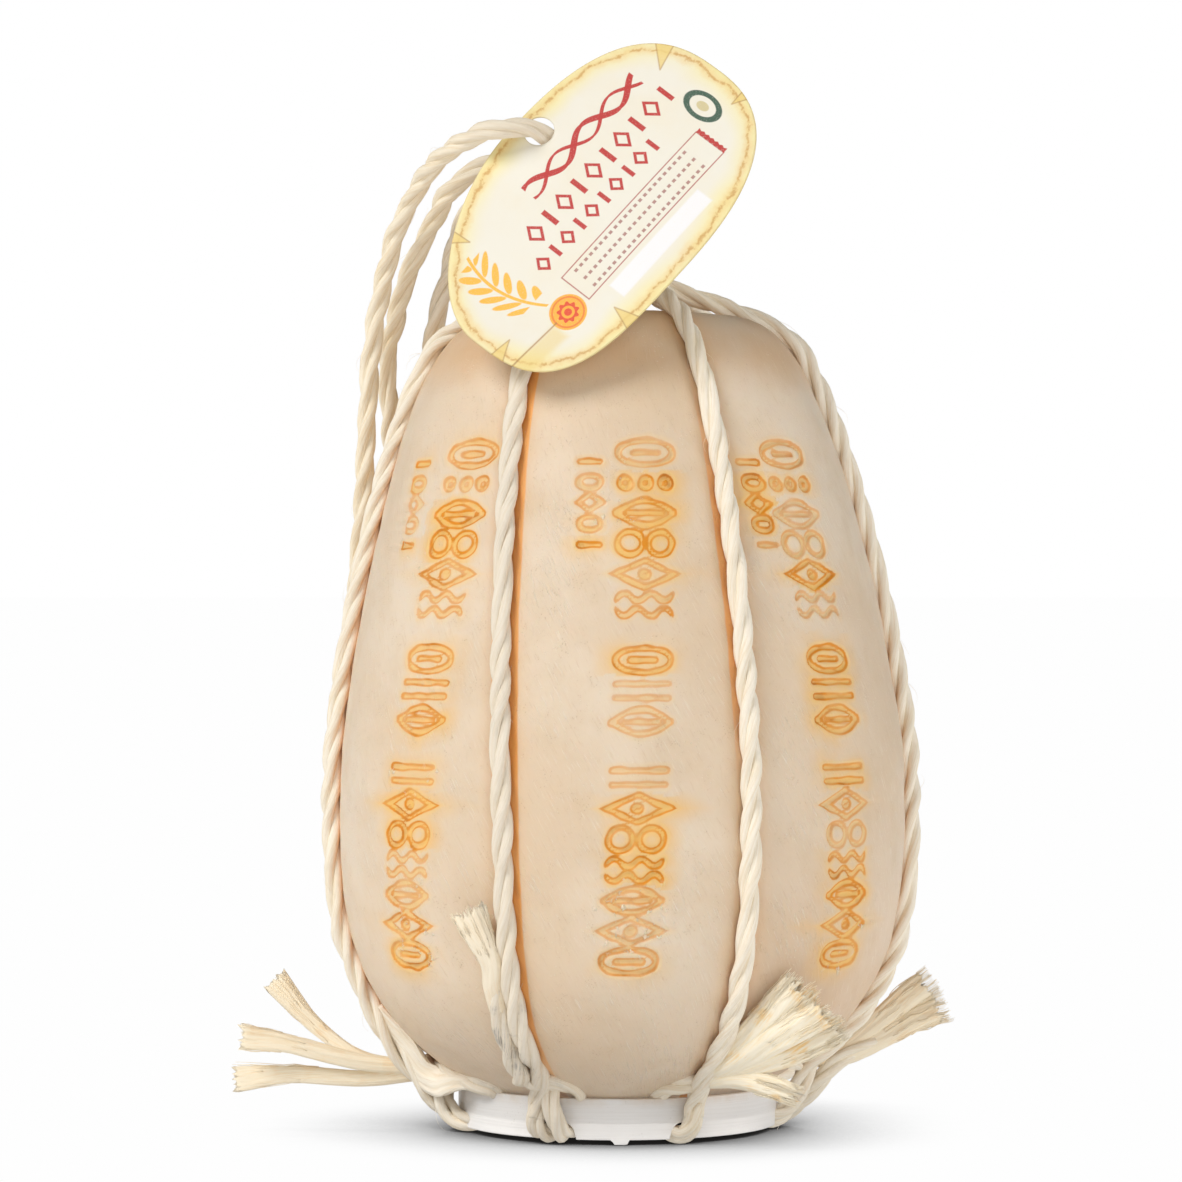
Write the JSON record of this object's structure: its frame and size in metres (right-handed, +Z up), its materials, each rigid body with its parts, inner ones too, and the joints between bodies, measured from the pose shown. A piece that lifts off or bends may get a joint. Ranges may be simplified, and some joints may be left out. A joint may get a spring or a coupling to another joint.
{
  "type": "provolone cheese",
  "caption": "Whole fluted, melon-shaped provolone cheese bound with twisted cord, sitting in a plastic base ring, with a long hanging loop of rope and a card tag over its top.",
  "frame": {"origin": "middle of the flat spot on the cheese's underside, on the surface that it and the base ring's nibs stand on, on the base ring's axis", "axes": "+Z up along the cheese's axis, -Y towards the front, where the tag faces, +X to the right seen from the front"},
  "size_m": [0.1929, 0.156, 0.2862],
  "materials": {
    "rind": "smooth waxy natural cheese rind, cream, semi-matt, with amber impressed marks",
    "ring": "white, slightly translucent moulded plastic",
    "cord": "three-strand twisted natural fibre cord, undyed cream",
    "loop_rope": "three-strand twisted natural fibre rope, undyed cream, slightly darker",
    "card": "thin satin card, cream with a pale yellow scorched border and printed fields of colour"
  },
  "bodies": {
    "root": {"cheese": "rind", "base_ring": "ring", "cord_left": "cord", "cord_front_left": "cord", "cord_front_right": "cord", "cord_right": "cord", "cord_back_right": "cord", "cord_back_left": "cord", "top_knot": "cord", "hanging_loop": "loop_rope", "tag": "card"}
  },
  "joints": []
}
